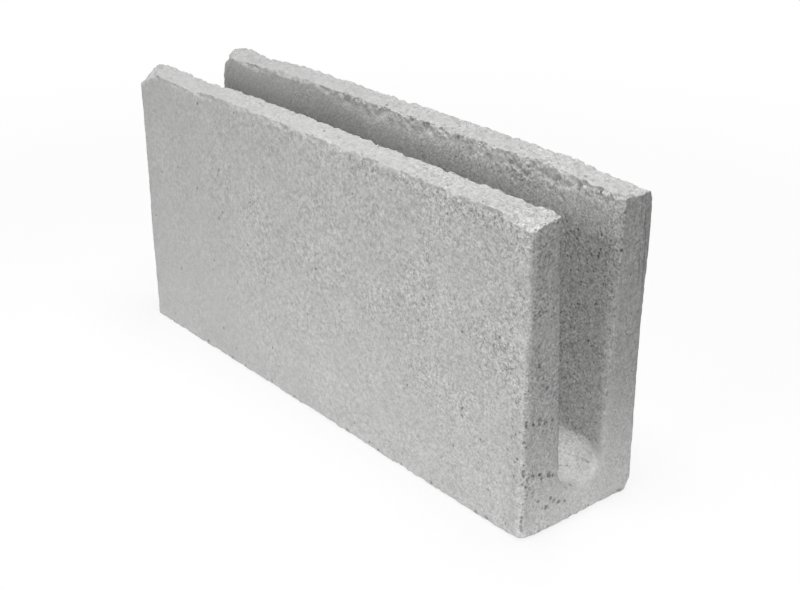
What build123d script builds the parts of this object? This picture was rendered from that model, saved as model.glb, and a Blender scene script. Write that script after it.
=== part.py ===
from build123d import *
import math
import os

# Channel block: one piece of pressed concrete, a masonry unit with a deep open channel along
# its whole length, used for bond beams and lintels. Sizes are in millimetres.
# X runs along the block, Y across it and Z up. The origin is the middle of the bed face.

# Outer size
block_length = 390.0
block_width = 90.0
block_height = 190.0

# Channel section: two leaning walls that run into a round floor
wall_at_lip = 21.5
wall_at_floor = 28.0
web_under_channel = 20.0

# Radii of the arrises, as the mould leaves them
corner_radius = 3.5
top_radius = 3.0
bed_radius = 2.0
channel_radius = 2.0


def channel_section():
    """Channel seen from the end: a round floor with a tangent wall rising from each side."""
    lip_half_width = block_width / 2 - wall_at_lip
    floor_radius = block_width / 2 - wall_at_floor
    floor_centre = Vector(0, web_under_channel + floor_radius)
    rise = block_height - floor_centre.Y

    # The wall is the tangent from the lip to the floor circle, which sets how far it leans
    to_lip = math.atan2(lip_half_width, rise)
    draft = to_lip - math.asin(floor_radius / math.hypot(lip_half_width, rise))
    spring_y = floor_radius * math.cos(draft)
    spring_z = floor_centre.Y - floor_radius * math.sin(draft)

    # The walls carry on at the same lean to a line well above the block, so the cut is clean
    cut_top = block_height + corner_radius
    cut_half_width = lip_half_width + (cut_top - block_height) * math.tan(draft)

    with BuildSketch(Plane.YZ) as section:
        with BuildLine():
            Line((-spring_y, spring_z), (-cut_half_width, cut_top))
            Line((-cut_half_width, cut_top), (cut_half_width, cut_top))
            Line((cut_half_width, cut_top), (spring_y, spring_z))
            ThreePointArc((spring_y, spring_z), (0, web_under_channel), (-spring_y, spring_z))
        make_face()
    return section.sketch


def is_channel_arris(edge):
    """True for the lips and for the channel's outline on the two ends, which form one closed run."""
    middle = edge.center(CenterOf.BOUNDING_BOX)
    runs_lengthways = abs((edge @ 1 - edge @ 0).X) > block_length / 2
    inside_channel = abs(middle.Y) < block_width / 2 - wall_at_lip + channel_radius
    at_lip_height = middle.Z > block_height - top_radius
    return inside_channel and (at_lip_height or not runs_lengthways)


def channel_block():
    """Rounded prism with the channel cut through it from end to end."""
    with BuildPart() as block:
        with BuildSketch():
            RectangleRounded(block_length, block_width, corner_radius)
        extrude(amount=block_height)
        fillet(block.faces().sort_by(Axis.Z)[0].edges(), radius=bed_radius)
        fillet(block.faces().sort_by(Axis.Z)[-1].edges(), radius=top_radius)
        extrude(channel_section(), amount=block_length, both=True, mode=Mode.SUBTRACT)
        fillet(block.edges(Select.LAST).filter_by(is_channel_arris), radius=channel_radius)
    return block.part


os.makedirs("parts", exist_ok=True)
export_step(channel_block(), "parts/channel_block.step")
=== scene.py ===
"""Looks of a pressed concrete channel block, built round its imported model.

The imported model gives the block's size and section. The visible block is one closed skin over that
form, worn where the real one is worn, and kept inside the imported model's box. The block's own
lengths are in millimetres, and turn into the scene's metres when a mesh is made.
"""

import itertools
import logging
import math
from dataclasses import dataclass, field
from enum import Enum
from functools import partial
from typing import Any, Callable, Iterator

import bpy
import numpy as np
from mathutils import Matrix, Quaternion, Vector
from mathutils.bvhtree import BVHTree


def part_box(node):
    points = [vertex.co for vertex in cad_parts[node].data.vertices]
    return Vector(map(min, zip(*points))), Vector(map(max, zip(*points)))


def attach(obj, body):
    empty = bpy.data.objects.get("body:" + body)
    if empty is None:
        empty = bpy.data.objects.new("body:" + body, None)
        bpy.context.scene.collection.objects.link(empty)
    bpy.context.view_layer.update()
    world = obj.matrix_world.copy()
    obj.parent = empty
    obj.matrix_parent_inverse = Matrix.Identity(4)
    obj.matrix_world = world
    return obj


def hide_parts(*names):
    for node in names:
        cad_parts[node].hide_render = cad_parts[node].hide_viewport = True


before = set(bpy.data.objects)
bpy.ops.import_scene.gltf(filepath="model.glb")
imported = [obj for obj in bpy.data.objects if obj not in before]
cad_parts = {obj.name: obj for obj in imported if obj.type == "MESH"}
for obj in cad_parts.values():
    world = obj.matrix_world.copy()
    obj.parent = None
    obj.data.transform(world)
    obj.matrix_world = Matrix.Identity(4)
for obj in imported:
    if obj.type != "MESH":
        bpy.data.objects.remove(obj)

MM = 0.001
NODE = "channel_block"
BODY = "root"

CELL_PRIMES = (73856093, 19349663, 83492791)
SEED_PRIME = 15485863
MIXER = 0x45D9F3B
LOW_BITS = 0xFFFFFFFF

FLOAT, VECTOR = "NodeSocketFloat", "NodeSocketVector"
GEOMETRY, MATERIAL = "NodeSocketGeometry", "NodeSocketMaterial"

log = logging.getLogger("channel_block")

Points = np.ndarray
Values = np.ndarray
Pair = tuple[float, float]
Triple = tuple[float, float, float]
Node = bpy.types.Node
Socket = bpy.types.NodeSocket


def ease(low: float, high: float, value: Values) -> Values:
    """Eases from 0 to 1 as a value goes from low to high.

    Args:
        low: where the rise starts.
        high: where it ends; lower than low for a fall.
        value: the values.
    Returns:
        One eased share for each value.
    """
    share = np.clip((value - low) / (high - low), 0.0, 1.0)
    return share * share * (3.0 - 2.0 * share)


def unit(vectors: Points) -> Points:
    """Makes vectors one long.

    Args:
        vectors: the vectors, n by 3.
    Returns:
        The unit vectors.
    """
    return vectors / np.maximum(np.linalg.norm(vectors, axis=1), 1e-9)[:, None]


def scrambled(cells: np.ndarray, seed: int) -> Values:
    """Random share from 0 to 1 for each whole-number cell, the same on every run.

    Args:
        cells: cell indices, n by 3.
        seed: picks one pattern.
    Returns:
        One share for each cell.
    """
    word = np.full(len(cells), seed * SEED_PRIME)
    for index, prime in zip(cells.T, CELL_PRIMES):
        word ^= index * prime
    word &= LOW_BITS
    for _ in range(2):
        word = ((word ^ (word >> 16)) * MIXER) & LOW_BITS
    return (word ^ (word >> 16)) / float(LOW_BITS)


@dataclass(frozen=True)
class Noise:
    """Smooth random value in space, that changes over one length."""

    size: float
    seed: int

    def at(self, points: Points) -> Values:
        """Reads the value.

        Args:
            points: places, n by 3.
        Returns:
            One value from -1 to 1 for each point.
        """
        cell = points / self.size
        base = np.floor(cell).astype(np.int64)
        share = ease(0.0, 1.0, cell - base)
        total = np.zeros(len(points))
        for corner in itertools.product((0, 1), repeat=3):
            weight = np.prod(np.where(np.array(corner) == 1, share, 1.0 - share), axis=1)
            total += weight * scrambled(base + np.array(corner), self.seed)
        return 2.0 * total - 1.0


def round_arris(first: Values, second: Values, radius: float | Values) -> Values:
    """Distance to a solid whose two faces meet in a round arris.

    Args:
        first: distance to one face, below zero inside.
        second: distance to the other.
        radius: radius of the arris.
    Returns:
        Distance for each point, below zero inside.
    """
    inside = np.minimum(np.maximum(first, second), -radius)
    return inside + np.hypot(np.maximum(first + radius, 0.0), np.maximum(second + radius, 0.0))


@dataclass(frozen=True)
class Nearness:
    """Distances of points from the block's ends and from its sharp outer corners."""

    right: Values
    left: Values
    end: Values
    corner: Values
    foot: Values
    front_right: Values


@dataclass(frozen=True)
class BlockSection:
    """Size of the block and of its channel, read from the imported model."""

    length: float
    width: float
    height: float
    web: float
    draft: float
    floor_radius: float
    corner_radius: float
    top_radius: float
    bed_radius: float

    @classmethod
    def from_node(cls, node: str, probes: Pair = (0.4, 0.9)) -> "BlockSection":
        """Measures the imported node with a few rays.

        Args:
            node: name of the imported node.
            probes: heights of the rays that find the wall, as shares of the block's height.
        Returns:
            The measured section.
        """
        low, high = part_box(node)
        size = (high - low) / MM
        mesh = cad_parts[node].data
        corners = [v.co / MM for v in mesh.vertices]
        tree = BVHTree.FromPolygons(corners, [tuple(p.vertices) for p in mesh.polygons])
        web = tree.ray_cast(Vector((0, 0, size.z / 2)), Vector((0, 0, -1)))[0].z
        heights = [size.z * probe for probe in probes]
        across = Vector((0, 1, 0))
        low_half, high_half = (tree.ray_cast(Vector((0, 0, z)), across)[0].y for z in heights)
        draft = math.atan2(high_half - low_half, heights[1] - heights[0])
        reach = low_half * math.cos(draft) + (web - heights[0]) * math.sin(draft)
        floor_radius = reach / (1.0 - math.sin(draft))
        half_x, half_y = size.x / 2, size.y / 2
        corner = cls.arris_radius(tree, Vector((half_x, -half_y, size.z / 2)), Vector((-1, 1, 0)))
        top = cls.arris_radius(tree, Vector((0, -half_y, size.z)), Vector((0, 1, -1)))
        bed = cls.arris_radius(tree, Vector((0, -half_y, 0)), Vector((0, 1, 1)))
        return cls(size.x, size.y, size.z, web, draft, floor_radius, corner, top, bed)

    @staticmethod
    def arris_radius(tree: BVHTree, corner: Vector, inward: Vector, outside: float = 10.0) -> float:
        """Radius of a square arris, from how far a ray travels past its sharp corner.

        Args:
            tree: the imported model's faces.
            corner: where the two faces would meet.
            inward: direction into the block, half way between the faces.
            outside: how far outside the block the ray starts.
        Returns:
            The radius.
        """
        hit = tree.ray_cast(corner - inward.normalized() * outside, inward)[0]
        return (hit - corner).length / (math.sqrt(2.0) - 1.0)

    @property
    def floor_centre(self) -> float:
        """Height of the centre of the channel's floor curve."""
        return self.web + self.floor_radius

    def wall_half(self, height: Values) -> Values:
        """Half the channel's width above its floor curve.

        Args:
            height: heights over the bed.
        Returns:
            Distance from the middle plane to the wall.
        """
        rise = height - self.floor_centre
        return self.floor_radius / math.cos(self.draft) + rise * math.tan(self.draft)

    def channel(self, points: Points) -> Values:
        """Distance to the channel's surface, below zero in the open channel.

        Args:
            points: places, n by 3.
        Returns:
            One distance for each point.
        """
        across = np.abs(points[:, 1])
        rise = points[:, 2] - self.floor_centre
        beside_wall = across * math.cos(self.draft) - rise * math.sin(self.draft)
        up_wall = across * math.sin(self.draft) + rise * math.cos(self.draft)
        return np.where(up_wall > 0.0, beside_wall, np.hypot(across, rise)) - self.floor_radius

    def in_channel(self, points: Points) -> Values:
        """Tells the channel's surface from the rest of the block.

        Args:
            points: places on the block, n by 3.
        Returns:
            1 on the channel's surface, easing to 0 away from it.
        """
        return ease(1.5, 0.3, np.abs(self.channel(points)))

    def near(self, points: Points) -> Nearness:
        """Measures how near points are to the ends and the outer corners.

        Args:
            points: places, n by 3.
        Returns:
            The distances.
        """
        x, y, z = points.T
        right, left = self.length / 2 - x, self.length / 2 + x
        end, side = np.minimum(right, left), self.width / 2 - np.abs(y)
        corner, foot = np.hypot(end, side), np.hypot(z, np.minimum(side, end))
        return Nearness(right, left, end, corner, foot, np.hypot(right, self.width / 2 + y))


class Side(Enum):
    """Face of the block that a mark lies on."""

    FRONT = "front"
    BACK = "back"
    RIGHT = "right"
    LEFT = "left"
    FRONT_WALL = "channel face of the front wall"
    BACK_WALL = "channel face of the back wall"
    TOP = "top of a wall"
    FRONT_ARRIS = "upright arris between the front and the right end"
    CHANNEL_ARRIS = "arris between the right end and the back wall's channel face"
    CHANNEL_FLOOR = "bottom of the channel, across and along"

    def place(self, first: Values, second: Values, section: BlockSection) -> tuple[Points, Points]:
        """Turns two coordinates on the face into places and outward directions.

        Args:
            first: x on a long face, a wall or a top, y on an end, and 0 on an arris.
            second: z, or y on a top.
            section: the block's section.
        Returns:
            Places and outward unit directions, each n by 3.
        """
        half_x, half_y = section.length / 2, section.width / 2
        wall = section.wall_half(second)
        below_centre = np.sqrt(np.maximum(section.floor_radius ** 2 - second ** 2, 1.0))
        floor = section.floor_centre - below_centre
        slope, inset, lip_inset = 2 ** -0.5, 1.6, 0.6
        table = {
            Side.FRONT: ((first, -half_y, second), (0, -1, 0)),
            Side.BACK: ((first, half_y, second), (0, 1, 0)),
            Side.RIGHT: ((half_x, first, second), (1, 0, 0)),
            Side.LEFT: ((-half_x, first, second), (-1, 0, 0)),
            Side.FRONT_WALL: ((first, -wall, second), (0, 1, 0)),
            Side.BACK_WALL: ((first, wall, second), (0, -1, 0)),
            Side.TOP: ((first, second, section.height), (0, 0, 1)),
            Side.FRONT_ARRIS: ((half_x - inset, inset - half_y, second), (slope, -slope, 0)),
            Side.CHANNEL_ARRIS: ((half_x, wall + lip_inset, second), (slope, -slope, 0)),
            Side.CHANNEL_FLOOR: ((first, second, floor), (0, 0, 1)),
        }
        places, outward = table[self]
        return (
            np.stack(np.broadcast_arrays(*places), axis=1),
            np.tile(np.array(outward, float), (len(first), 1)),
        )


@dataclass(frozen=True)
class PitRun:
    """Row or patch of small holes that the pressed mix left, scattered along a line on one face."""

    side: Side
    start: Pair
    end: Pair
    spread: float
    count: int
    radius: Pair

    def scatter(
        self, section: BlockSection, random: np.random.Generator, mostly_small: float = 1.6
    ) -> tuple[Points, Points, Values]:
        """Places the run's holes.

        Args:
            section: the block's section.
            random: source of the scatter.
            mostly_small: power that makes large holes rarer than small ones.
        Returns:
            Places on the plain face, outward directions and radii.
        """
        along = (np.arange(self.count) + random.uniform(0.1, 0.9, self.count)) / self.count
        aside = random.uniform(-1.0, 1.0, self.count) * self.spread
        step = np.subtract(self.end, self.start)
        reach = max(float(np.hypot(*step)), 1e-6)
        first = self.start[0] + step[0] * along - step[1] / reach * aside
        second = self.start[1] + step[1] * along + step[0] / reach * aside
        small, large = self.radius
        radii = small + (large - small) * random.uniform(0.0, 1.0, self.count) ** mostly_small
        places, outward = self.side.place(first, second, section)
        return places, outward, radii


PIT_RUNS = (
    PitRun(Side.RIGHT, (-44, 75), (-23, 70.5), 0.8, 6, (1.0, 1.5)),
    PitRun(Side.RIGHT, (-43.5, 42), (-11, 32), 0.8, 8, (1.0, 1.6)),
    PitRun(Side.RIGHT, (-38, 22), (-10, 16), 3.2, 8, (0.9, 1.5)),
    PitRun(Side.RIGHT, (-40.5, 136), (-32, 137.6), 0.4, 5, (0.8, 1.1)),
    PitRun(Side.RIGHT, (-40, 116.7), (-35, 119.2), 0.4, 3, (0.7, 1.0)),
    PitRun(Side.RIGHT, (-38, 108), (-24, 84), 2.0, 7, (0.8, 1.4)),
    PitRun(Side.RIGHT, (17, 40), (31, 47), 4.0, 4, (0.6, 0.9)),
    PitRun(Side.FRONT_ARRIS, (0, 6), (0, 21), 1.4, 6, (0.6, 1.0)),
    PitRun(Side.FRONT_ARRIS, (0, 36), (0, 46), 1.2, 4, (0.7, 1.1)),
    PitRun(Side.FRONT_ARRIS, (0, 60), (0, 130), 1.6, 7, (0.5, 0.8)),
    PitRun(Side.CHANNEL_ARRIS, (0, 60), (0, 182), 1.2, 16, (0.6, 1.0)),
    PitRun(Side.BACK_WALL, (108, 178), (150, 180), 6.0, 9, (0.6, 1.2)),
    PitRun(Side.BACK_WALL, (-70, 187.5), (100, 187), 1.6, 12, (0.6, 1.0)),
    PitRun(Side.BACK_WALL, (160, 60), (190, 160), 12.0, 9, (0.6, 1.0)),
    PitRun(Side.BACK_WALL, (166, 46), (190, 38), 3.0, 7, (0.7, 1.3)),
    PitRun(Side.FRONT_WALL, (-180, 186), (190, 186), 3.0, 10, (0.7, 1.3)),
    PitRun(Side.CHANNEL_FLOOR, (169, 3), (190, 15.5), 1.8, 9, (0.55, 0.9)),
    PitRun(Side.CHANNEL_FLOOR, (190, -11), (193, -3), 0.8, 3, (0.8, 1.2)),
    PitRun(Side.FRONT, (40, 183), (186, 182), 2.4, 14, (0.6, 1.0)),
    PitRun(Side.FRONT, (86, 112), (170, 45), 10.0, 6, (0.6, 1.0)),
    PitRun(Side.FRONT, (-175, 150), (40, 86), 40.0, 5, (0.7, 1.0)),
    PitRun(Side.FRONT, (-190, 2.5), (190, 2.5), 1.4, 14, (0.8, 1.3)),
    PitRun(Side.RIGHT, (-38, 1.8), (36, 1.8), 0.8, 6, (0.7, 1.1)),
    PitRun(Side.TOP, (60, -34), (180, -34), 9.0, 4, (0.35, 0.5)),
    PitRun(Side.TOP, (60, 34), (170, 34), 9.0, 3, (0.35, 0.45)),
    PitRun(Side.BACK, (-180, 40), (180, 150), 60.0, 10, (0.7, 1.2)),
    PitRun(Side.LEFT, (-40, 30), (40, 20), 8.0, 6, (0.7, 1.2)),
)


@dataclass(frozen=True)
class OpenPatch:
    """Egg-shaped zone where the mix was too dry to close, and the face is full of joined holes."""

    centre: Triple
    reach: Triple
    share: float

    def hold(self, points: Points, steepness: float = 1.3) -> Values:
        """How open the mix is at each place.

        Args:
            points: places, n by 3.
            steepness: how fast the share falls towards the rim.
        Returns:
            The patch's share in its middle, falling to 0 at its rim.
        """
        away = ((points - np.array(self.centre)) / np.array(self.reach)) ** 2
        return self.share * np.clip(steepness * (1.0 - away.sum(axis=1)), 0.0, 1.0)


OPEN_PATCHES = (
    OpenPatch((126, 22, 180), (32, 8, 11), 0.9),
    OpenPatch((45, 22, 188), (120, 6, 5), 0.75),
    OpenPatch((183, 13, 26.5), (10, 5, 4), 0.6),
    OpenPatch((172, 17, 41), (10, 4, 6), 0.6),
    OpenPatch((170, 22, 184), (28, 6, 5), 0.8),
    OpenPatch((110, -45, 185), (90, 4, 4), 0.6),
)


@dataclass(frozen=True)
class UprightWear:
    """Extra roundness of one upright corner over part of its height."""

    end: int
    side: int
    start: float
    full: float
    growth: float

    def added(self, points: Points) -> Values:
        """What the wear adds to the corner's radius.

        Args:
            points: places, n by 3.
        Returns:
            One length for each point.
        """
        x, y, z = points.T
        here = (self.end * x > 0.0) * (self.side * y > 0.0)
        return self.growth * ease(self.start, self.full, z) * here


UPRIGHT_WEAR = (
    UprightWear(end=1, side=1, start=8.0, full=1.0, growth=4.5),
    UprightWear(end=-1, side=-1, start=60.0, full=130.0, growth=2.0),
    UprightWear(end=1, side=-1, start=12.0, full=2.0, growth=2.0),
)


@dataclass(frozen=True)
class WornCorner:
    """Slanting break across a top corner of one wall.

    It starts at the end and at the width "across", and runs so far along, into the wall and down.
    """

    end: int
    across: float
    run: float
    reach: float
    rise: float
    rough: float

    def cut(self, points: Points, section: BlockSection, far: float = 9.0) -> Values:
        """Distance to the break, below zero in the part that is left.

        Args:
            points: places, n by 3.
            section: the block's section.
            far: share that stands for the other wall, which the break never reaches.
        Returns:
            One distance for each point.
        """
        along = (section.length / 2 - self.end * points[:, 0]) / self.run
        same_wall = points[:, 1] * self.across > 0.0
        aside = np.where(same_wall, (points[:, 1] - self.across) / self.reach, far)
        below = (section.height - points[:, 2]) / self.rise
        steep = math.hypot(1.0 / self.run, 1.0 / self.reach, 1.0 / self.rise)
        return (1.0 - along - aside - below) / steep


WORN_CORNERS = (
    WornCorner(end=-1, across=-45, run=29, reach=19, rise=15.5, rough=1.0),
    WornCorner(end=-1, across=23.5, run=15, reach=14, rise=15, rough=1.0),
    WornCorner(end=1, across=-45, run=27, reach=21.5, rise=6.5, rough=0.4),
)


def windows(points: Points, centres: Points, reach: float | Values) -> Iterator[np.ndarray]:
    """Finds the points that are near each of many centres along X, with one sort.

    Args:
        points: places, n by 3.
        centres: the centres, m by 3.
        reach: how far along X counts as near, for all centres or for each.
    Returns:
        The numbers of the points near each centre, in turn.
    """
    order = np.argsort(points[:, 0], kind="stable")
    along = points[order, 0]
    starts = np.searchsorted(along, centres[:, 0] - reach)
    stops = np.searchsorted(along, centres[:, 0] + reach)
    for start, stop in zip(starts, stops):
        yield order[start:stop]


@dataclass
class BlockForm:
    """The block's surface as a distance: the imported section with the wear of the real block.

    The front wall is at y below 0. The photograph shows it, the channel and the right end.
    """

    section: BlockSection
    channel_radius: float = 2.0
    slump_length: float = 56.0
    slump_depth: Pair = (2.4, 4.0)
    slump_bend: float = 1.7
    sag: float = 1.2
    dip: float = 2.0
    dip_reach: float = 20.0
    dip_places: Pair = (-129.0, -158.0)
    proud: float = 0.3
    uneven: float = 0.2
    back_swell: float = 0.8
    back_sharpness: float = 0.6
    end_crispness: float = 0.7
    least_radius: float = 0.3
    break_radius: float = 0.8
    lump: Noise = Noise(13.0, 3)
    crumb: Noise = Noise(4.2, 5)
    open_coarse: Noise = Noise(1.9, 31)
    open_fine: Noise = Noise(0.95, 37)
    open_depth: float = 1.1
    open_edge: float = 0.95
    plain_edge: float = 9.0
    hole_reach: float = 12.0
    lobe_count: int = 3
    lobe_reach: float = 1.5
    seed: int = 11
    centres: Points = field(init=False)
    radii: Values = field(init=False)
    lobes: Points = field(init=False)
    lobe_outward: Points = field(init=False)
    lobe_radii: Values = field(init=False)

    def __post_init__(self) -> None:
        """Scatters the holes once, each made of a few lobes."""
        random = np.random.default_rng(self.seed)
        runs = [run.scatter(self.section, random) for run in PIT_RUNS]
        places, outward, radii = (np.concatenate(part) for part in zip(*runs))
        count, flattening, sinking = self.lobe_count, 0.6, 0.1
        self.centres = places - outward * (sinking * radii)[:, None]
        self.radii = radii
        spread = random.normal(0.0, 0.42, (len(radii), count, 3)) * radii[:, None, None]
        rise = (spread * outward[:, None, :]).sum(axis=2, keepdims=True)
        spread -= flattening * outward[:, None, :] * rise
        self.lobes = (self.centres[:, None, :] + spread).reshape(-1, 3)
        self.lobe_outward = np.repeat(outward, count, axis=0)
        self.lobe_radii = (radii[:, None] * random.uniform(0.5, 0.95, (len(radii), count))).ravel()

    def slump(self, points: Points) -> Values:
        """How far the tops fall.

        Both tops sag a little towards the left end and have one dip there, and the back one also
        falls away at the right end.

        Args:
            points: places, n by 3.
        Returns:
            Fall of the top for each point.
        """
        half, width = self.section.length / 2, self.section.width
        x, y, _ = points.T
        inner, outer = self.slump_depth
        depth = inner + (outer - inner) * ease(width / 4, width / 2, y)
        along = 1.0 - np.clip((half - x) / self.slump_length, 0.0, 1.0)
        along = 1.0 - (1.0 - along) ** self.slump_bend
        front, back = self.dip_places
        from_dip = x - np.where(y > 0.0, back, front)
        sag = self.sag * ease(95.0 - half, 25.0 - half, x)
        sag += self.dip * np.exp(-((from_dip / self.dip_reach) ** 2))
        return sag + np.where(y > 0.0, along * depth, 0.0)

    def closed(self, points: Points) -> Values:
        """Distance to the worn surface before its holes are cut.

        Args:
            points: places, n by 3.
        Returns:
            One distance for each point, below zero inside.
        """
        s = self.section
        x, y, z = points.T
        half, back = s.length / 2, y > 0.0
        lump, crumb = self.lump.at(points), self.crumb.at(points)

        high_back = ease(90.0, 170.0, z) * (x > 0.0) * back
        upright = s.corner_radius + sum(wear.added(points) for wear in UPRIGHT_WEAR)
        upright -= self.back_sharpness * s.corner_radius * high_back
        solid = round_arris(np.abs(x) - half, np.abs(y) - s.width / 2, upright)
        solid -= self.back_swell * high_back

        top = z - s.height - self.proud + self.slump(points) + self.uneven * (1.0 + lump)
        crisp = ease(half - 9.0, half - 2.0, x) * np.where(back, 0.35, 1.0)
        soft = 1.0 - self.end_crispness * crisp
        radius = np.where(back, 1.0, 0.5) * s.top_radius * soft
        radius = np.maximum(radius + (0.8 * lump + 0.6 * crumb) * soft, self.least_radius)
        solid = round_arris(solid, top, radius)

        low_corner = ease(14.0, 3.0, np.hypot(half - x, y + s.width / 2))
        solid = round_arris(solid, -z, s.bed_radius + 2.4 * low_corner + 0.7 * lump + 0.6 * crumb)
        for corner in WORN_CORNERS:
            ragged = corner.rough * (1.8 * crumb + 0.8 * lump)
            solid = round_arris(solid, corner.cut(points, s) + ragged, self.break_radius)

        far_end = 3.5 * ease(10.0 - half, 3.0 - half, x) * ease(80.0, 150.0, z)
        sharp = ease(half - 10.0, half - 3.0, x) * (y < 0.0) * (z > s.floor_centre)
        radius = self.channel_radius + far_end
        radius += (0.7 * crumb + 0.5 * lump) * (1.0 - self.end_crispness * sharp) - 1.4 * sharp
        return round_arris(solid, -s.channel(points), radius)

    def open_share(self, points: Points) -> Values:
        """How open the mix is: 0 in the closed face, up to 1 in the driest patch.

        Args:
            points: places, n by 3.
        Returns:
            One share for each point.
        """
        return np.maximum.reduce([patch.hold(points) for patch in OPEN_PATCHES])

    def hollows(self, points: Points) -> Values:
        """How deep the holes go below the worn surface.

        Args:
            points: places on that surface, n by 3.
        Returns:
            One depth for each point.
        """
        share = self.open_share(points)
        rough = self.open_coarse.at(points) + 0.5 * self.open_fine.at(points)
        depth = self.open_depth * share * ease(0.0, 0.4, rough - 0.75 + 0.8 * share)
        reaches = self.lobe_reach * self.lobe_radii
        near = windows(points, self.lobes, reaches)
        lobes = zip(self.lobes, self.lobe_outward, self.lobe_radii, reaches, near)
        for centre, outward, radius, reach, some in lobes:
            away = points[some] - centre
            above = away @ outward
            bowl = radius ** 2 - (away ** 2).sum(axis=1) + above ** 2
            in_bowl = (bowl > 0.0) & (np.abs(above) < 2.0 * radius)
            deep = np.where(in_bowl, np.sqrt(np.maximum(bowl, 0.0)) + above, 0.0)
            depth[some] = np.maximum(depth[some], np.minimum(deep, reach))
        return depth

    def slope(self, points: Points, value: Values, step: float = 0.02) -> Points:
        """Gradient of the distance to the worn surface.

        Args:
            points: places, n by 3.
            value: the distance there.
            step: length of the difference.
        Returns:
            One vector for each point.
        """
        parts = [(self.closed(points + step * axis) - value) / step for axis in np.eye(3)]
        return np.stack(parts, axis=1)

    def settle(self, points: Points, steps: int, flattest: float = 0.3) -> Points:
        """Moves points onto the worn surface.

        Args:
            points: places near the surface.
            steps: how often each is moved.
            flattest: smallest square of the gradient that a step is divided by.
        Returns:
            The moved points.
        """
        for _ in range(steps):
            value = self.closed(points)
            slope = self.slope(points, value)
            size = np.maximum((slope ** 2).sum(axis=1), flattest)
            points = points - slope * (value / size)[:, None]
        return points

    def sink(self, points: Points, depth: Values) -> Points:
        """Moves points from the worn surface straight down into its holes.

        Args:
            points: places on the surface.
            depth: how deep each goes.
        Returns:
            The moved points.
        """
        return points - unit(self.slope(points, self.closed(points))) * depth[:, None]

    def wanted_by_holes(self, points: Points) -> Values:
        """Edge length that the holes ask of the skin.

        Args:
            points: places, n by 3.
        Returns:
            One length for each point.
        """
        length = np.full(len(points), self.plain_edge)
        near = windows(points, self.centres, self.hole_reach)
        for centre, radius, some in zip(self.centres, self.radii, near):
            gap = np.linalg.norm(points[some] - centre, axis=1)
            wanted = np.maximum(0.7 * radius, 0.6) + 0.9 * np.maximum(gap - 1.2 * radius, 0.0)
            length[some] = np.minimum(length[some], wanted)
        on_skin = np.abs(self.closed(points)) < 3.0
        is_open = on_skin & (self.open_share(points) > 0.2)
        return np.where(is_open, np.minimum(length, self.open_edge), length)


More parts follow.
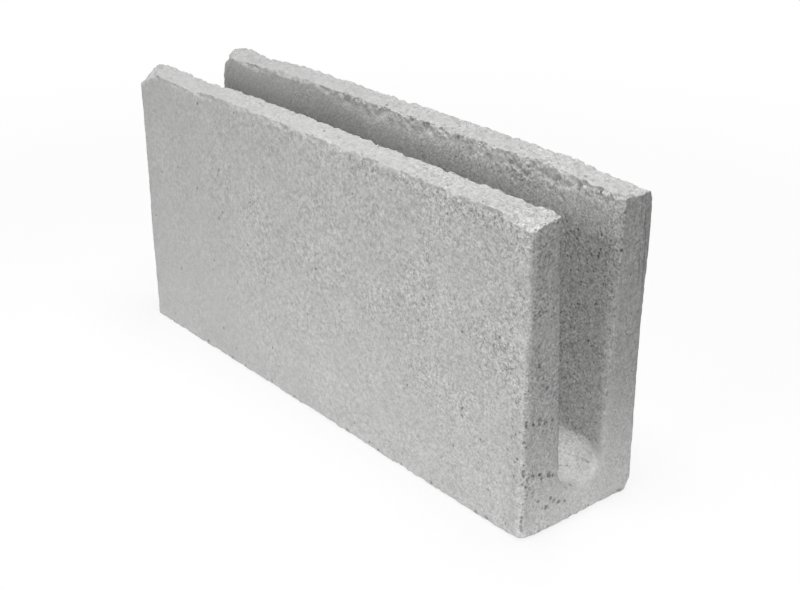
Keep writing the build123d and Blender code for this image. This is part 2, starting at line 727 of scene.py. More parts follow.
@dataclass(frozen=True)
class SkinDetail:
    """How short the skin's edges are in each zone, how rough or open the zone is, and what light and
    shade is painted on it.
    """

    form: BlockForm
    face: float = 8.0
    top: float = 1.4
    top_band: float = 5.0
    upright: float = 2.4
    upright_band: float = 6.0
    end: float = 3.4
    end_band: float = 3.0
    foot: float = 2.6
    foot_band: float = 4.0
    growth: float = 0.6
    crust_band: float = 4.5
    ragged: Noise = Noise(9.0, 23)
    frayed: Noise = Noise(3.6, 29)
    patchy: Noise = Noise(16.0, 41)

    def wanted(self, points: Points) -> Values:
        """Longest edge wanted at each place.

        Args:
            points: places, n by 3.
        Returns:
            One length for each point.
        """
        s, near = self.form.section, self.form.section.near(points)
        zones = (
            (self.top, s.height - self.top_band - points[:, 2], 0.0),
            (self.upright, near.corner, self.upright_band),
            (self.foot, near.foot, self.foot_band),
            (self.end, near.right, self.end_band),
            (1.5 * self.end, near.left, self.end_band),
        )
        length = np.minimum(self.face, self.form.wanted_by_holes(points))
        for shortest, away, band in zones:
            length = np.minimum(length, shortest + self.growth * np.maximum(away - band, 0.0))
        return length

    def crust(self, points: Points) -> Values:
        """How far the surface is broken to bare grain: 1 on the tops, little on the faces.

        Args:
            points: places, n by 3.
        Returns:
            One share for each point.
        """
        s, near = self.form.section, self.form.section.near(points)
        x, y, z = points.T
        height = z + self.form.slump(points)
        height += 1.8 * self.ragged.at(points) + 1.2 * self.frayed.at(points)
        back_lip = ease(8.0, 12.0, y) * ease(34.0, 28.0, y)
        band = self.crust_band + 6.0 * back_lip * ease(-80.0, -40.0, x) * ease(175.0, 150.0, x)
        shares = (
            ease(0.0, 3.0, height - (s.height - band)),
            0.25 * ease(5.0, 2.5, near.corner),
            0.4 * ease(5.0, 2.0, near.foot),
            0.35 * ease(4.0, 2.0, np.hypot(near.end, s.channel(points))),
            np.full_like(x, 0.04),
        )
        return np.maximum.reduce(shares)

    def open_texture(self, points: Points) -> Values:
        """How open and pitted the pressed face is, where the mix was dry.

        Args:
            points: places, n by 3.
        Returns:
            One share for each point.
        """
        s, near = self.form.section, self.form.section.near(points)
        x, y, z = points.T
        wave = 0.5 + 0.5 * self.patchy.at(points)
        lining = s.in_channel(points) * ease(75.0, 20.0, near.right) * ease(190.0, 185.0, z)
        low_front = ease(12.0, 2.0, near.right) * ease(-18.0, -30.0, y) * ease(130.0, 60.0, z)
        arris = ease(36.0, 6.0, near.front_right) * ease(s.height - 6.0, s.height - 16.0, z)
        upper = ease(s.height - 16.0, s.height - 7.0, z) * ease(-60.0, 90.0, x)
        shares = (
            0.65 * lining * (1.0 - 0.9 * ease(42.0, 34.0, z)),
            0.8 * low_front * wave,
            0.55 * arris * wave,
            0.65 * upper * wave,
        )
        return np.maximum.reduce(shares)

    def dragged(self, points: Points) -> Values:
        """Where the mould dragged upright lines into the right end.

        Args:
            points: places, n by 3.
        Returns:
            One share for each point.
        """
        _, y, z = points.T
        off = np.abs(y)
        shares = (
            ease(34.0, 39.0, y) * ease(70.0, 165.0, z),
            0.3 * ease(30.0, 24.0, off) * ease(16.0, 19.0, off) * ease(50.0, 120.0, z),
            0.15 * ease(22.0, 30.0, off) * ease(60.0, 120.0, z),
        )
        return ease(3.0, 0.8, self.form.section.near(points).right) * np.maximum.reduce(shares)

    def painted_light_and_shade(self, points: Points) -> Values:
        """Painted light and shade: how much paler or darker each place is painted than the concrete.

        Args:
            points: places, n by 3.
        Returns:
            Added share of the colour for each point.
        """
        s, near = self.form.section, self.form.section.near(points)
        x, y, z = points.T
        in_channel = s.in_channel(points)
        # Painted pool of light on the channel's floor near the right end.
        brow = z + 0.9 * np.maximum(11.0 - near.right, 0.0)
        floor = in_channel * ease(40.5, 36.0, brow) * ease(60.0, 25.0, near.right)
        floor *= 1.0 - 0.3 * ease(14.0, 5.0, near.right)
        # The right end is painted paler, more so towards its foot and the middle of the web: painted
        # bounce light from the floor.
        end = (1.0 - in_channel) * ease(8.0, 1.0, near.right)
        low = ease(80.0, 5.0, z) * (1.0 + 0.35 * ease(26.0, 6.0, np.abs(y - 3.0)))
        # Painted shade that dims the highlight on the low part of the front right upright arris.
        arris = ease(14.0, 2.0, near.front_right) * ease(110.0, 20.0, z)
        # Painted bounce light along the foot, stronger near the bottom of the front right corner.
        foot = ease(9.0, 3.0, z) + 0.9 * ease(16.0, 4.0, z) * ease(45.0, 12.0, near.front_right)
        # Painted light that lifts the shade on the back wall's channel face.
        wall = in_channel * ease(-50.0, 0.0, x) * ease(150.0, 90.0, x) * (y > 0.0)
        # Painted shade on the back wall's top, away from its channel side.
        back_top = ease(s.height - 9.0, s.height - 5.0, z) * (y > s.width / 4)
        back_top *= ease(150.0, 80.0, x) * (1.0 - wall)
        low_end = 0.6 * floor + end * (0.06 + 0.25 * low) - 0.16 * arris
        return low_end + 0.07 * foot + 0.12 * wall - 0.045 * back_top


@dataclass
class Skin:
    """Closed triangle skin that is divided until its edges are short enough."""

    points: Points
    faces: np.ndarray

    @classmethod
    def swept(
        cls, section: BlockSection, along: int = 36, wall: int = 14, quarter: int = 3, deep: int = 3
    ) -> "Skin":
        """Coarse skin: the channel section swept along the block.

        Args:
            section: the block's section.
            along: cells along the block.
            wall: cells up a wall.
            quarter: cells in a quarter of the way round the channel's floor.
            deep: cells through a wall.
        Returns:
            A closed skin of triangles.
        """
        spring, half, bed = section.floor_centre, section.width / 2, 2 * quarter
        heights = np.linspace(section.height, spring, wall + 1)
        angles = np.linspace(math.pi, 2 * math.pi, 4 * quarter + 1)[1:-1]
        floor = np.stack([np.cos(angles), np.sin(angles)], axis=1) * section.floor_radius
        floor += (0.0, spring)
        left_inner = np.stack([-section.wall_half(heights), heights], axis=1)
        left_outer = np.stack([np.full(wall + 1, -half), heights], axis=1)
        down = [(-half, spring * (1 - k / quarter)) for k in range(1, quarter + 1)]
        across = [(-half + 2 * half * k / bed, 0.0) for k in range(1, bed)]
        up = [(half, spring * k / quarter) for k in range(quarter)]
        mirror = np.array([-1.0, 1.0])
        inner = np.concatenate([left_inner, floor, left_inner[::-1] * mirror])
        outer = np.concatenate([left_outer, down + across + up, left_outer[::-1] * mirror])
        share = np.linspace(0.0, 1.0, deep + 1)[None, :, None, None]
        grid = np.zeros((len(outer), deep + 1, along + 1, 3))
        grid[..., 0] = np.linspace(-section.length / 2, section.length / 2, along + 1)
        grid[..., 1:] = outer[:, None, None, :] * (1 - share) + inner[:, None, None, :] * share
        return cls.from_grid(grid)

    @classmethod
    def from_grid(cls, grid: np.ndarray) -> "Skin":
        """Skin of a bent box of cells.

        Args:
            grid: corner places, of shape s by t by x by 3.
        Returns:
            A closed skin of triangles that faces outwards.
        """
        shape = grid.shape[:3]
        on_skin = np.zeros(shape, bool)
        for axis in range(3):
            np.moveaxis(on_skin, axis, 0)[[0, -1]] = True
        number = np.full(shape, -1)
        number[on_skin] = np.arange(on_skin.sum())
        quads = []
        for axis, end in itertools.product(range(3), (0, -1)):
            sheet = np.moveaxis(number, axis, 0)[end]
            around = [sheet[:-1, :-1], sheet[1:, :-1], sheet[1:, 1:], sheet[:-1, 1:]]
            quad = np.stack(around, axis=-1).reshape(-1, 4)
            quads.append(quad[:, ::-1] if (end == 0) != (axis == 1) else quad)
        quads = np.concatenate(quads)
        skin = cls(grid[on_skin], np.concatenate([quads[:, [0, 1, 2]], quads[:, [0, 2, 3]]]))
        if skin.volume() < 0.0:
            skin.faces = skin.faces[:, ::-1].copy()
        return skin

    def corners(self) -> list[Points]:
        """Places of the faces' corners.

        Returns:
            Every face's first corner, its second one and its third one.
        """
        return [self.points[numbers] for numbers in self.faces.T]

    def facing(self) -> Points:
        """Outward vectors of the faces.

        Returns:
            One vector for each face, as long as twice its area.
        """
        first, second, third = self.corners()
        return np.cross(second - first, third - first)

    def volume(self) -> float:
        """Volume inside the skin.

        Returns:
            The volume, above zero when the skin faces outwards.
        """
        first, second, third = self.corners()
        return float(np.einsum("ij,ij->i", first, np.cross(second, third)).sum() / 6.0)

    def divide(
        self, wanted: Callable[[Points], Values], settle: Callable[[Points], Points], rounds: int
    ) -> None:
        """Halves edges that are too long, and their faces' longest edges, until none is too long.

        Args:
            wanted: gives the longest edge wanted at a place.
            settle: moves a new point onto the surface.
            rounds: most rounds of halving.
        """
        for _ in range(rounds):
            starts, stops = self.faces, np.roll(self.faces, -1, axis=1)
            total = len(self.points)
            key = np.minimum(starts, stops).astype(np.int64) * total + np.maximum(starts, stops)
            edges, back = np.unique(key, return_inverse=True)
            sides = back.reshape(-1, 3)
            first, second = self.points[edges // total], self.points[edges % total]
            length = np.linalg.norm(first - second, axis=1)
            middle = (first + second) / 2
            split = length > wanted(middle)
            if not split.any():
                return
            rows = np.arange(len(self.faces))
            longest = length[sides].argmax(axis=1)
            while True:
                touched = split[sides].any(axis=1)
                also = sides[rows[touched], longest[touched]]
                if split[also].all():
                    break
                split[also] = True
            number = np.full(len(edges), -1)
            number[split] = total + np.arange(split.sum())
            turn = (longest[:, None] + np.arange(3)) % 3
            corners = np.take_along_axis(self.faces, turn, axis=1)
            cuts = np.take_along_axis(number[sides], turn, axis=1)
            self.points = np.concatenate([self.points, settle(middle[split])])
            self.faces = self.pieces(corners, cuts)

    @staticmethod
    def pieces(corners: np.ndarray, cuts: np.ndarray) -> np.ndarray:
        """Divides each face by the new points on its sides.

        Args:
            corners: the faces, with the longest side first.
            cuts: the new point on each side, or -1.
        Returns:
            The divided faces.
        """
        a, b, c = corners.T
        ab, bc, ca = cuts.T
        whole = ab < 0
        kinds = {
            (False, False): [(a, ab, c), (ab, b, c)],
            (True, False): [(a, ab, c), (ab, b, bc), (ab, bc, c)],
            (False, True): [(ab, b, c), (a, ab, ca), (ab, c, ca)],
            (True, True): [(a, ab, ca), (ab, b, bc), (ca, bc, c), (ab, bc, ca)],
        }
        made = [corners[whole]]
        for (second, third), triangles in kinds.items():
            some = ~whole & ((bc >= 0) == second) & ((ca >= 0) == third)
            made += [np.stack([part[some] for part in face], axis=1) for face in triangles]
        return np.concatenate(made)

    def summed(self, at: np.ndarray, values: Points) -> Points:
        """Adds up vectors at the points that they belong to.

        Args:
            at: number of each vector's point.
            values: the vectors, n by 3.
        Returns:
            One sum for each point of the skin.
        """
        return np.stack([np.bincount(at, part, len(self.points)) for part in values.T], axis=1)

    def around(self, facing: Points) -> Points:
        """Adds up the faces' vectors at each point.

        Args:
            facing: one vector for each face.
        Returns:
            One sum for each point.
        """
        return self.summed(self.faces.ravel(), np.repeat(facing, 3, axis=0))

    def to_middle(self) -> tuple[Points, Values]:
        """Step from each point to the middle of its neighbours, and how far off those are.

        Returns:
            The steps and the mean distances.
        """
        at, other = self.faces.T.ravel(), np.roll(self.faces, -1, axis=1).T.ravel()
        apart = self.points[other] - self.points[at]
        count = np.maximum(np.bincount(at, minlength=len(self.points)), 1)
        reach = np.bincount(at, np.linalg.norm(apart, axis=1), len(self.points))
        return self.summed(at, apart) / count[:, None], reach / count

    def even_out(self, settle: Callable[[Points], Points], rounds: int, share: float = 0.5) -> None:
        """Slides points towards the middle of their neighbours, along the surface.

        Args:
            settle: moves points back onto the surface.
            rounds: how often.
            share: how far they go each time.
        """
        for _ in range(rounds):
            step, _ = self.to_middle()
            normal = unit(self.around(self.facing()))
            step -= normal * (step * normal).sum(axis=1)[:, None]
            self.points = settle(self.points + share * step)

    def folded(self, least: float = 0.25) -> np.ndarray:
        """Points of the triangles that turn away from the surface around them.

        Args:
            least: smallest cosine between a triangle and what is around it.
        Returns:
            The points' numbers.
        """
        facing = unit(self.facing())
        around = self.around(facing)[self.faces].sum(axis=1)
        turned = (facing * around).sum(axis=1) < least * np.linalg.norm(around, axis=1)
        return np.unique(self.faces[turned])

    def blunt(self, limit: float, rounds: int) -> None:
        """Pulls in the few points that stick out as thin spikes or lie in a fold.

        Args:
            limit: most that a point may stick out, as a share of its neighbours' distance.
            rounds: how often.
        """
        for _ in range(rounds):
            step, reach = self.to_middle()
            loose = np.linalg.norm(step, axis=1) > limit * reach
            loose[self.folded()] = True
            self.points[loose] += step[loose]

    def to_mesh(self, name: str, **values: Values) -> bpy.types.Mesh:
        """Makes a mesh in metres.

        Args:
            name: the mesh's name.
            values: named values for the points.
        Returns:
            A smooth-shaded mesh.
        """
        mesh = bpy.data.meshes.new(name)
        mesh.from_pydata((self.points * MM).tolist(), [], self.faces.tolist())
        for key, value in values.items():
            layer = mesh.attributes.new(key, "FLOAT", "POINT")
            layer.data.foreach_set("value", value.astype(np.float32))
        mesh.polygons.foreach_set("use_smooth", np.ones(len(mesh.polygons), bool))
        mesh.update()
        return mesh


@dataclass
class NodeSketch:
    """Small helper that adds and joins nodes in one tree."""

    tree: bpy.types.NodeTree

    def add(self, kind: str, inputs: dict[Any, Any] | None = None, **settings: Any) -> Node:
        """Adds one node.

        Args:
            kind: Blender's name for the node type.
            inputs: what each input takes, by name or number: a socket to join or a value.
            settings: properties of the node.
        Returns:
            The new node.
        """
        node = self.tree.nodes.new(kind)
        for key, value in settings.items():
            setattr(node, key, value)
        self.give(node, inputs or {})
        return node

    def give(self, node: Node, inputs: dict[Any, Any]) -> None:
        """Sets or joins a node's inputs.

        Args:
            node: the node.
            inputs: what each input takes, by name or number: a socket to join or a value.
        """
        for key, value in inputs.items():
            if isinstance(value, Socket):
                self.tree.links.new(value, node.inputs[key])
            else:
                node.inputs[key].default_value = value

    def maths(self, operation: str, *values: Any, clamp: bool = False) -> Socket:
        """Adds a maths node.

        Args:
            operation: Blender's name for the operation.
            values: sockets or numbers.
            clamp: whether to keep the result from 0 to 1.
        Returns:
            The result's socket.
        """
        inputs = dict(enumerate(values))
        return self.add("ShaderNodeMath", inputs, operation=operation, use_clamp=clamp).outputs[0]

    def vector(self, operation: str, *values: Any, **named: Any) -> Node:
        """Adds a vector maths node.

        Args:
            operation: Blender's name for the operation.
            values: sockets or vectors.
            named: inputs that are given by name.
        Returns:
            The node.
        """
        inputs = dict(enumerate(values)) | named
        return self.add("ShaderNodeVectorMath", inputs, operation=operation)

    def ramp(
        self, value: Any, low: float, high: float, to_low: float = 0.0, to_high: float = 1.0
    ) -> Socket:
        """Eases a value from one range to another.

        Args:
            value: the socket.
            low: start of its range.
            high: end of its range.
            to_low: result at the start.
            to_high: result at the end.
        Returns:
            The result's socket.
        """
        names = ("Value", "From Min", "From Max", "To Min", "To Max")
        inputs = dict(zip(names, (value, low, high, to_low, to_high)))
        return self.add("ShaderNodeMapRange", inputs, interpolation_type="SMOOTHSTEP").outputs[0]

    def noise(
        self, place: Socket, detail: float, scale: float = 1.0, roughness: float = 0.5
    ) -> Socket:
        """Adds a noise texture.

        Args:
            place: where it is read.
            detail: how many finer layers it has.
            scale: how fine it is.
            roughness: how strong the finer layers are.
        Returns:
            The noise, round 0.5.
        """
        inputs = {"Vector": place, "Scale": scale, "Detail": detail, "Roughness": roughness}
        return self.add("ShaderNodeTexNoise", inputs).outputs[0]

    def cells(self, place: Socket, scale: float = 1.0) -> tuple[Socket, Any]:
        """Adds a texture of random cells.

        Args:
            place: where it is read.
            scale: how fine it is.
        Returns:
            The distance to a cell's middle, and three random shares for the cell.
        """
        inputs = {"Vector": place, "Scale": scale, "Randomness": 1.0}
        texture = self.add("ShaderNodeTexVoronoi", inputs, feature="F1").outputs
        is_shader = self.tree.bl_idname == "ShaderNodeTree"
        parts = "ShaderNodeSeparateColor" if is_shader else "FunctionNodeSeparateColor"
        return texture["Distance"], self.add(parts, {"Color": texture["Color"]}).outputs

    def attribute(self, name: str) -> Socket:
        """Reads a named value of the mesh in a material.

        Args:
            name: the value's name.
        Returns:
            Its socket.
        """
        return self.add("ShaderNodeAttribute", attribute_name=name).outputs["Fac"]

    def seen(self) -> Socket:
        """Tells rays that show a thing from rays that light one.

        Returns:
            1 for a ray from the camera, a mirror or glass, and 0 for any other.
        """
        path = self.add("ShaderNodeLightPath").outputs
        seen = self.maths("MAXIMUM", path["Is Camera Ray"], path["Is Glossy Ray"])
        return self.maths("MAXIMUM", seen, path["Is Transmission Ray"])


def new_group(
    name: str, kind: str, inputs: dict[str, tuple[str, Any]], outputs: dict[str, str]
) -> tuple[NodeSketch, Any, Node]:
    """Starts a node group.

    Args:
        name: the group's name.
        kind: Blender's name for the tree type.
        inputs: socket type and default for each input.
        outputs: socket type for each output.
    Returns:
        The tree's helper, the sockets of its inputs and its output node.
    """
    tree = bpy.data.node_groups.new(name, kind)
    for key, (socket, default) in inputs.items():
        made = tree.interface.new_socket(key, in_out="INPUT", socket_type=socket)
        if default is not None:
            made.default_value = default
    for key, socket in outputs.items():
        tree.interface.new_socket(key, in_out="OUTPUT", socket_type=socket)
    sketch = NodeSketch(tree)
    return sketch, sketch.add("NodeGroupInput").outputs, sketch.add("NodeGroupOutput")


def shader_group(
    name: str, values: dict[str, float], *outputs: str
) -> tuple[NodeSketch, Any, Node, Socket]:
    """Starts a shader group that reads a place divided by its first value.

    Args:
        name: the group's name.
        values: the default of each input.
        outputs: the outputs' names.
    Returns:
        The tree's helper, the sockets of its inputs, its output node and the divided place.
    """
    inputs = {"Vector": (VECTOR, None)} | {key: (FLOAT, value) for key, value in values.items()}
    s, take, sink = new_group(name, "ShaderNodeTree", inputs, dict.fromkeys(outputs, FLOAT))
    return s, take, sink, s.vector("DIVIDE", take["Vector"], take[1]).outputs[0]


@dataclass(frozen=True)
class PressedRelief:
    """Geometry Nodes relief: bare grains and crumbs on broken crust, a slight wave elsewhere."""

    grain_size: float = 2.7
    grain_depth: float = 0.7
    lump_size: float = 5.5
    lump_depth: float = 1.5
    face_depth: float = 0.25
    waves_per_metre: float = 28.0
    seed: float = 4.0

    def tree(self) -> bpy.types.NodeTree:
        """Builds the node tree.

        Returns:
            The tree, with a named input for each size.
        """
        inputs = {
            "Geometry": (GEOMETRY, None),
            "Grain Size": (FLOAT, self.grain_size * MM),
            "Grain Depth": (FLOAT, self.grain_depth * MM),
            "Lump Size": (FLOAT, self.lump_size * MM),
            "Lump Depth": (FLOAT, self.lump_depth * MM),
            "Face Depth": (FLOAT, self.face_depth * MM),
            "Seed": (FLOAT, self.seed),
            "Material": (MATERIAL, None),
        }
        name, kind = "Pressed skin", "GeometryNodeTree"
        s, take, sink = new_group(name, kind, inputs, {"Geometry": GEOMETRY})
        named = s.add("GeometryNodeInputNamedAttribute", {"Name": "crust"}, data_type="FLOAT")
        crust = named.outputs[0]
        position = s.add("GeometryNodeInputPosition").outputs[0]
        place = s.vector("ADD", position, take["Seed"]).outputs[0]

        distance, shares = s.cells(s.vector("DIVIDE", place, take["Grain Size"]).outputs[0])
        gap = s.maths("POWER", distance, 1.6, clamp=True)
        sunk = s.ramp(shares[0], 0.45, 1.0)
        grain = s.maths("ADD", s.maths("MULTIPLY", gap, 0.75), s.maths("MULTIPLY", sunk, 0.45))
        lump_place = s.vector("DIVIDE", place, take["Lump Size"]).outputs[0]
        lump = s.ramp(s.noise(lump_place, 2.0), 0.35, 0.72)
        wave = s.noise(s.vector("SCALE", place, Scale=self.waves_per_metre).outputs[0], 1.0)

        depth = s.maths("MULTIPLY", grain, take["Grain Depth"])
        depth = s.maths("MULTIPLY_ADD", lump, take["Lump Depth"], depth)
        depth = s.maths("MULTIPLY", depth, crust)
        depth = s.maths("MULTIPLY_ADD", wave, take["Face Depth"], depth)
        normal = s.add("GeometryNodeInputNormal").outputs[0]
        inward = s.vector("SCALE", normal, Scale=s.maths("MULTIPLY", depth, -1.0)).outputs[0]

        # Painted shade between the bare grains of the broken crust, kept for the material.
        painted_grain_shade = {"Name": "painted_grain_shade", "Value": s.maths("MULTIPLY", gap, crust)}
        steps = (
            ("GeometryNodeStoreNamedAttribute", painted_grain_shade, {"data_type": "FLOAT", "domain": "POINT"}),
            ("GeometryNodeSetPosition", {"Offset": inward}, {}),
            ("GeometryNodeRealizeInstances", {}, {}),
            ("GeometryNodeSetMaterial", {"Material": take["Material"]}, {}),
        )
        geometry = take["Geometry"]
        for kind, values, settings in steps:
            geometry = s.add(kind, {"Geometry": geometry} | values, **settings).outputs[0]
        s.give(sink, {"Geometry": geometry})
        return s.tree

    def apply(self, piece: bpy.types.Object, material: bpy.types.Material) -> None:
        """Runs the tree on a piece and keeps the result as its plain mesh.

        Args:
            piece: the object, at the origin.
            material: the material that the tree sets.
        """
        tree = self.tree()
        modifier = piece.modifiers.new("Pressed skin", "NODES")
        modifier.node_group = tree
        sockets = {i.name: i.identifier for i in tree.interface.items_tree if i.in_out == "INPUT"}
        modifier[sockets["Seed"]] = self.seed
        modifier[sockets["Material"]] = material
        graph = bpy.context.evaluated_depsgraph_get()
        finished = bpy.data.meshes.new_from_object(piece.evaluated_get(graph), depsgraph=graph)
        piece.modifiers.remove(modifier)
        piece.data = finished


def sand_group() -> bpy.types.NodeTree:
    """Fine sand seen in the cement face.

    Returns:
        A group with a Tone round 1 and a Height from 0 to 1.
    """
    values = {"Grain Size": 1.2, "Contrast": 1.0, "Mottle": 0.8}
    s, take, sink, place = shader_group("Sand grain", values, "Tone", "Height")
    fine = s.noise(place, 2.0, roughness=0.6)
    mottle = s.maths("SUBTRACT", s.noise(place, 1.0, scale=0.42), 0.5)
    distance, shares = s.cells(place, 0.85)
    bead = s.maths("SUBTRACT", 1.0, s.maths("POWER", distance, 1.4, clamp=True))
    mixed = s.maths("MULTIPLY_ADD", mottle, take["Mottle"], s.maths("SUBTRACT", fine, 0.61))
    mixed = s.maths("MULTIPLY_ADD", shares[0], 0.22, mixed)
    height = s.maths("ADD", s.maths("MULTIPLY", fine, 0.6), s.maths("MULTIPLY", bead, 0.5))
    tone = s.maths("MULTIPLY_ADD", mixed, take["Contrast"], 1.0)
    s.give(sink, {"Tone": tone, "Height": height})
    return s.tree


def pinhole_group() -> bpy.types.NodeTree:
    """Tiny air holes left in the pressed face.

    Returns:
        A group with a Mask that is 1 in a hole and 0 outside.
    """
    values = {"Spacing": 7.5, "Share": 0.5, "Largest": 0.13}
    s, take, sink, place = shader_group("Pinholes", values, "Mask")
    distance, shares = s.cells(place)
    chosen = s.maths("LESS_THAN", shares[0], take["Share"])
    reach = s.maths("MULTIPLY", take["Largest"], s.ramp(shares[1], 0.0, 1.0, 0.3, 1.0))
    inner = s.ramp(s.maths("DIVIDE", distance, reach), 1.35, 0.5)
    faint = s.ramp(shares[2], 0.0, 1.0, 0.35, 1.0)
    s.give(sink, {"Mask": s.maths("MULTIPLY", s.maths("MULTIPLY", inner, chosen), faint)})
    return s.tree


def cloud_group() -> bpy.types.NodeTree:
    """Soft light and dark clouds in the cement face.

    Returns:
        A group with a Tone round 1.
    """
    values = {"Size": 38.0, "Contrast": 0.16}
    s, take, sink, place = shader_group("Cement clouds", values, "Tone")
    cloud = s.maths("SUBTRACT", s.noise(place, 3.0, roughness=0.6), 0.5)
    s.give(sink, {"Tone": s.maths("MULTIPLY_ADD", cloud, take["Contrast"], 1.0)})
    return s.tree


def drag_group() -> bpy.types.NodeTree:
    """Upright lines that grains leave when the mould slides off.

    Returns:
        A group with a Tone at or below 1.
    """
    values = {"Width": 1.5, "Length": 26.0, "Depth": 0.5}
    s, take, sink, place = shader_group("Drag marks", values, "Tone")
    wide = s.add("ShaderNodeSeparateXYZ", {0: place}).outputs
    full = s.add("ShaderNodeSeparateXYZ", {0: take["Vector"]}).outputs
    tall = s.maths("DIVIDE", full[2], take["Length"])
    lines = s.add("ShaderNodeCombineXYZ", {0: wide[0], 1: wide[1], 2: tall}).outputs[0]
    dark = s.maths("MULTIPLY", s.ramp(s.noise(lines, 2.0), 0.45, 0.75), take["Depth"])
    s.give(sink, {"Tone": s.maths("SUBTRACT", 1.0, dark)})
    return s.tree


@dataclass(frozen=True)
class ConcreteFinish:
    """Dry pressed concrete: neutral grey, sandy and matte."""

    colour: Triple = (0.5, 0.5, 0.497)
    roughness: float = 0.95
    specular: float = 0.25
    sand_relief: float = 0.5
    hole_relief: float = -1.2
    # Painted shade in the pinholes.
    pinhole_painted_shade: float = -0.5
    # Painted shade between bare grains.
    grain_gap_painted_shade: float = -0.12
    # Painted shade in the holes.
    pit_painted_shade: float = -0.42

    def material(self) -> bpy.types.Material:
        """Builds the material.

        Returns:
            The finished material.
        """
        material = bpy.data.materials.new("pressed_concrete")
        material.use_nodes = True
        s = NodeSketch(material.node_tree)
        place = s.add("ShaderNodeTexCoord").outputs["Object"]
        mm = s.vector("SCALE", place, Scale=1.0 / MM).outputs[0]
        along, _, up = s.add("ShaderNodeSeparateXYZ", {0: mm}).outputs
        names = ("painted_grain_shade", "crust", "painted_pit_shade", "open", "painted_light_and_shade", "dragged")
        painted_grain_shade, crust, painted_pit_shade, open_face, painted_light_and_shade, dragged = map(s.attribute, names)

        calm = s.noise(mm, 1.0, scale=0.03)
        contrast = s.ramp(calm, 0.35, 0.65, 0.7, 1.05)
        zones = (
            (along, 20.0, 150.0, 0.95, 1.5),
            (along, -150.0, -40.0, 0.6, 1.0),
            (up, 30.0, 110.0, 0.65, 1.0),
        )
        for zone in zones:
            contrast = s.maths("MULTIPLY", contrast, s.ramp(*zone))
        mottle = s.ramp(along, 20.0, 150.0, 0.8, 0.35)
        in_open = s.maths("MULTIPLY", open_face, 0.75)
        pinholes = pinhole_group()
        groups = (
            (sand_group(), {"Mottle": mottle, "Contrast": contrast}),
            (pinholes, {}),
            (pinholes, {"Spacing": 2.8, "Share": in_open, "Largest": 0.3}),
            (cloud_group(), {}),
            (drag_group(), {"Depth": s.maths("MULTIPLY", dragged, 0.5)}),
        )
        sand, holes, dense, clouds, drag = (
            s.add("ShaderNodeGroup", {"Vector": mm} | values, node_tree=group).outputs
            for group, values in groups
        )

        grainy = s.maths("MULTIPLY_ADD", open_face, 0.8, 1.0)
        grainy = s.maths("MULTIPLY_ADD", crust, -0.6, grainy)
        tone = s.maths("MULTIPLY_ADD", s.maths("SUBTRACT", sand["Tone"], 1.0), grainy, 1.0)
        for other in (clouds, drag):
            tone = s.maths("MULTIPLY", tone, other["Tone"])
        hole = s.maths("MAXIMUM", holes["Mask"], dense["Mask"])
        # Painted shade in the pinholes, between bare grains and in the holes, and the skin's painted
        # light and shade each scale the tone.
        painted_shading = (
            (hole, self.pinhole_painted_shade), (painted_grain_shade, self.grain_gap_painted_shade), (painted_pit_shade, self.pit_painted_shade), (painted_light_and_shade, 1.0),
        )
        for share, change in painted_shading:
            tone = s.maths("MULTIPLY", tone, s.maths("MULTIPLY_ADD", share, change, 1.0))
        height = s.maths("MULTIPLY_ADD", hole, self.hole_relief, sand["Height"])
        relief = {"Height": height, "Distance": self.sand_relief * MM, "Strength": 1.0}
        shader = {
            "Roughness": self.roughness,
            "Specular IOR Level": self.specular,
            "Base Color": s.vector("SCALE", self.colour, Scale=tone).outputs[0],
            "Normal": s.add("ShaderNodeBump", relief).outputs[0],
        }
        s.give(s.tree.nodes["Principled BSDF"], shader)
        return material


def add_object(
    name: str, data: bpy.types.ID, place: Triple = (0.0, 0.0, 0.0), turn: Quaternion | None = None
) -> bpy.types.Object:
    """Adds an object to the scene.

    Args:
        name: its name.
        data: its mesh, light or camera.
        place: where it goes.
        turn: how it is turned, for one that is.
    Returns:
        The object.
    """
    made = bpy.data.objects.new(name, data)
    made.location = place
    if turn is not None:
        made.rotation_mode = "QUATERNION"
        made.rotation_quaternion = turn
    bpy.context.scene.collection.objects.link(made)
    return made


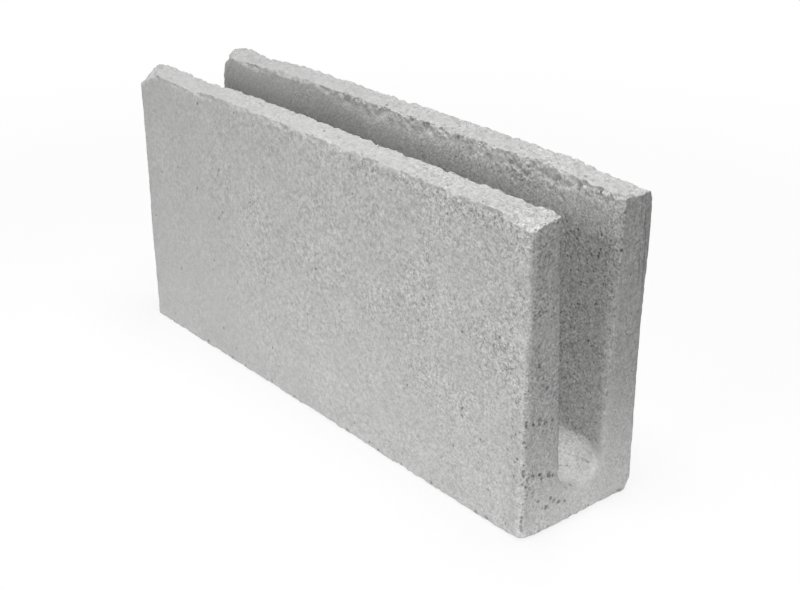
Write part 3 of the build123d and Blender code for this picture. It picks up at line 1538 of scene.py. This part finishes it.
@dataclass
class PressedBlock:
    """The visible block: one worn closed skin."""

    section: BlockSection
    finish: ConcreteFinish = field(default_factory=ConcreteFinish)
    relief: PressedRelief = field(default_factory=PressedRelief)

    def build(self) -> bpy.types.Object:
        """Makes the piece and hands it to the frame.

        Returns:
            The finished object.
        """
        form = BlockForm(self.section)
        detail = SkinDetail(form)
        settle = partial(form.settle, steps=2)
        skin = Skin.swept(self.section)
        skin.points = form.settle(skin.points, steps=6)
        skin.divide(detail.wanted, settle, rounds=14)
        skin.even_out(settle, rounds=2)
        points, depth = skin.points, form.hollows(skin.points)
        values = {
            "crust": detail.crust(points),
            # Painted shade in the holes, darker the deeper they go, less in the open patches.
            "painted_pit_shade": ease(0.1, 0.9, depth) * (1.0 - 0.6 * form.open_share(points)),
            "open": detail.open_texture(points),
            "dragged": detail.dragged(points),
            # Painted light and shade, as a share added to the colour.
            "painted_light_and_shade": detail.painted_light_and_shade(points),
        }
        skin.points = form.sink(points, depth)
        skin.blunt(limit=0.8, rounds=4)
        log.info("skin: %d triangles, %.0f cubic mm", len(skin.faces), skin.volume())
        name = "pressed_channel_block"
        piece = add_object(name, skin.to_mesh(name, **values))
        self.relief.apply(piece, self.finish.material())
        self.trim(piece, skin)
        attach(piece, BODY)
        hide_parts(NODE)
        log.info("%s: %d triangles", piece.name, len(piece.data.polygons))
        return piece

    def trim(self, piece: bpy.types.Object, skin: Skin) -> None:
        """Pulls in the relief's spikes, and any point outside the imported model's box.

        Args:
            piece: the finished object.
            skin: its triangles.
        """
        low, high = (np.array(corner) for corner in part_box(NODE))
        flat = np.zeros(skin.points.size, np.float32)
        piece.data.vertices.foreach_get("co", flat)
        skin.points = flat.reshape(-1, 3).astype(float) / MM
        skin.blunt(limit=0.6, rounds=12)
        places = np.clip(skin.points * MM, low, high)
        piece.data.vertices.foreach_set("co", places.astype(np.float32).ravel())
        piece.data.update()


@dataclass(frozen=True)
class Lamp:
    """Square soft lamp."""

    name: str
    place: Triple
    side: float
    watts: float
    aim: Triple = (0.0, 0.0, 0.09)

    def build(self) -> None:
        """Adds the lamp to the scene."""
        light = bpy.data.lights.new(self.name, "AREA")
        light.shape = "SQUARE"
        light.size = self.side
        light.energy = self.watts
        ahead = Vector(self.aim) - Vector(self.place)
        add_object(self.name, light, self.place, ahead.to_track_quat("-Z", "Y"))


LAMPS = (
    Lamp("overhead", (0.1, 0.0, 1.0), 0.5, 7.7),
    Lamp("front", (0.0, -1.6, 0.7), 1.0, 14.2),
    Lamp("front_left", (-0.9, -1.2, 1.0), 1.0, 1.8),
    Lamp("low_right", (1.2, -0.6, 0.12), 0.4, 5.3, aim=(0.1, 0.0, 0.03)),
    Lamp("back", (-0.3, 1.5, 0.9), 1.0, 6.0),
)


@dataclass(frozen=True)
class Studio:
    """Plain whitish floor, white surround and soft lamps."""

    floor_half: float = 3.0
    pale_reach: float = 0.22
    dark_reach: float = 0.5
    floor_near: float = 0.92
    floor_far: float = 0.12
    glow_near: float = 0.84
    glow_reach: float = 0.9
    sky_light: float = 0.04
    white: tuple[float, ...] = (1.0, 1.0, 1.0, 1.0)

    def floor_material(self) -> bpy.types.Material:
        """White floor for the camera, that throws light back only near the block.

        Returns:
            The material.
        """
        material = bpy.data.materials.new("studio_floor")
        material.use_nodes = True
        s = NodeSketch(material.node_tree)
        place = s.add("ShaderNodeTexCoord").outputs["Object"]
        away = s.vector("LENGTH", place).outputs["Value"]
        thrown = s.ramp(away, self.pale_reach, self.dark_reach, self.floor_near, self.floor_far)
        glow = s.ramp(away, self.pale_reach, self.glow_reach, self.glow_near, 1.0)
        rest, seen = s.maths("SUBTRACT", 1.0, glow), s.seen()
        own = s.add("ShaderNodeMix", {0: seen, 2: thrown, 3: rest}, data_type="FLOAT").outputs[0]
        shader = {
            "Roughness": 1.0,
            "Specular IOR Level": 0.0,
            "Base Color": s.add("ShaderNodeCombineColor", dict.fromkeys(range(3), own)).outputs[0],
            "Emission Color": self.white,
            "Emission Strength": s.maths("MULTIPLY", seen, glow),
        }
        s.give(s.tree.nodes["Principled BSDF"], shader)
        return material

    def build(self) -> None:
        """Adds the floor, the world and the lamps."""
        h = self.floor_half
        mesh = bpy.data.meshes.new("floor")
        mesh.from_pydata([(-h, -h, 0), (h, -h, 0), (h, h, 0), (-h, h, 0)], [], [(0, 1, 2, 3)])
        mesh.materials.append(self.floor_material())
        floor = add_object("floor", mesh)
        world = bpy.data.worlds.new("white_surround")
        world.use_nodes = True
        bpy.context.scene.world = world
        s = NodeSketch(world.node_tree)
        strength = s.ramp(s.seen(), 0.0, 1.0, self.sky_light, 1.0)
        s.give(s.tree.nodes["Background"], {"Color": self.white, "Strength": strength})
        for lamp in LAMPS:
            lamp.build()


@dataclass(frozen=True)
class Viewpoint:
    """Camera at the photograph's viewing angle."""

    place: Triple = (0.6435, -0.4964, 0.4410)
    azimuth: float = 50.72
    elevation: float = 24.56
    roll: float = -0.42
    lens: float = 62.08
    sensor: float = 36.0

    def build(self) -> None:
        """Adds the camera and makes it the scene's own."""
        camera = bpy.data.cameras.new("camera")
        camera.lens = self.lens
        camera.sensor_width = self.sensor
        turn, lift = math.radians(self.azimuth), math.radians(self.elevation)
        level = math.cos(lift)
        ahead = Vector((-math.sin(turn) * level, math.cos(turn) * level, -math.sin(lift)))
        roll = Quaternion((0.0, 0.0, 1.0), math.radians(self.roll))
        view = ahead.to_track_quat("-Z", "Y") @ roll
        bpy.context.scene.camera = add_object("camera", camera, self.place, view)


def main() -> None:
    """Builds the block and its studio."""
    logging.basicConfig(level=logging.INFO, format="%(name)s %(message)s")
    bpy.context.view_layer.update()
    PressedBlock(BlockSection.from_node(NODE)).build()
    Studio().build()
    Viewpoint().build()
    bpy.context.scene.view_settings.view_transform = "Standard"


if __name__ == "__main__":
    main()
